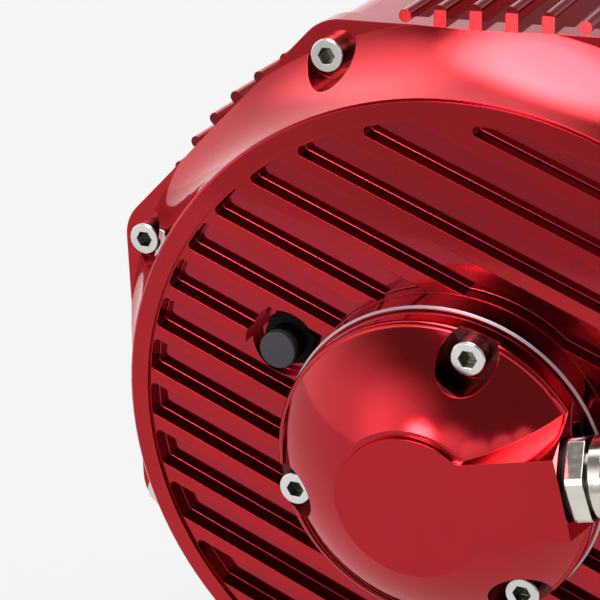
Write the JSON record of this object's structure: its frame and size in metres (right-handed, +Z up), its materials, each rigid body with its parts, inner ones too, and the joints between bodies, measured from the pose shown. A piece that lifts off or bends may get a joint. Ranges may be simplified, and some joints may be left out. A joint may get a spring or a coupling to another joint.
{
  "type": "brushless outrunner motor",
  "caption": "Sealed brushless motor with a finned octagonal housing, ribbed rear cover, domed sensor cover with cable gland, vent plug and keyed drive shaft.",
  "frame": {"origin": "centre of the drive-end mounting face, on the shaft axis", "axes": "+Y along the shaft out of the drive end, +Z up with a housing flat on top, +X to the right seen from the rear cover"},
  "size_m": [0.208, 0.2167, 0.2303],
  "materials": {
    "red_anodised": "glossy candy red anodised",
    "stainless": "bright stainless",
    "nickel_brass": "nickel plated",
    "black_rubber": "matt",
    "black_plastic": "satin",
    "bare_aluminium": "turned",
    "lamination_steel": "stacked sheet",
    "ground_steel": "ground",
    "magnet": "nickel plated, satin",
    "enamelled_copper": "enamelled copper wire",
    "light_polymer": "moulded",
    "circuit_board": "solder mask"
  },
  "bodies": {
    "case": {"housing": "red_anodised", "rear_cover": "red_anodised", "front_cover": "red_anodised", "hub_cover": "red_anodised", "hub_cover_gasket": "black_rubber", "rear_cover_seal": "black_rubber", "front_cover_seal": "black_rubber", "rear_cover_screws": "stainless", "front_cover_screws": "stainless", "hub_cover_screws": "stainless", "vent_plug": "black_plastic", "vent_seal": "black_rubber", "sensor_gland_body": "nickel_brass", "sensor_gland_washer": "black_rubber", "sensor_gland_nut": "nickel_brass", "sensor_gland_seal": "black_rubber", "phase_gland_bodies": "nickel_brass", "phase_gland_washers": "black_rubber", "phase_gland_nuts": "nickel_brass", "phase_gland_seals": "black_rubber", "stator_mount": "bare_aluminium", "stator_mount_screws": "stainless", "stator_circlip": "ground_steel", "stator_core": "lamination_steel", "slot_insulator_front": "light_polymer", "slot_insulator_rear": "light_polymer", "phase_a_coils": "enamelled_copper", "phase_b_coils": "enamelled_copper", "phase_c_coils": "enamelled_copper", "temperature_sensor": "light_polymer", "front_bearing_outer_race": "ground_steel", "rear_bearing_outer_race": "ground_steel", "bearing_retainer": "bare_aluminium", "retainer_screws": "stainless", "preload_spring": "ground_steel", "shaft_seal": "black_rubber", "encoder_board": "circuit_board", "encoder_chip": "black_plastic", "encoder_connector": "light_polymer", "encoder_board_screws": "stainless"},
    "rotor": {"shaft": "ground_steel", "rotor_key": "ground_steel", "rotor_bell": "bare_aluminium", "flux_ring": "ground_steel", "bell_screws": "stainless", "magnets": "magnet", "shaft_spacer": "bare_aluminium", "shaft_circlip": "ground_steel", "front_bearing_inner_race": "ground_steel", "rear_bearing_inner_race": "ground_steel", "encoder_magnet_holder": "bare_aluminium", "encoder_magnet": "magnet"},
    "front_ball_cage": {"front_bearing_balls": "ground_steel", "front_bearing_cage": "light_polymer"},
    "rear_ball_cage": {"rear_bearing_balls": "ground_steel", "rear_bearing_cage": "light_polymer"}
  },
  "joints": [
    {"name": "rotor_spin", "type": "hinge", "parent": "case", "child": "rotor", "pos_m": [0, 0, 0], "axis": [0, 1, 0], "continuous": true},
    {"name": "front_cage_spin", "type": "hinge", "parent": "case", "child": "front_ball_cage", "pos_m": [0, -0.018, 0], "axis": [0, 1, 0], "continuous": true},
    {"name": "rear_cage_spin", "type": "hinge", "parent": "case", "child": "rear_ball_cage", "pos_m": [0, -0.11752, 0], "axis": [0, 1, 0], "continuous": true}
  ],
  "couplings": [
    {"joint": "front_cage_spin", "follows": "rotor_spin", "ratio": 0.3968},
    {"joint": "rear_cage_spin", "follows": "rotor_spin", "ratio": 0.3969}
  ]
}
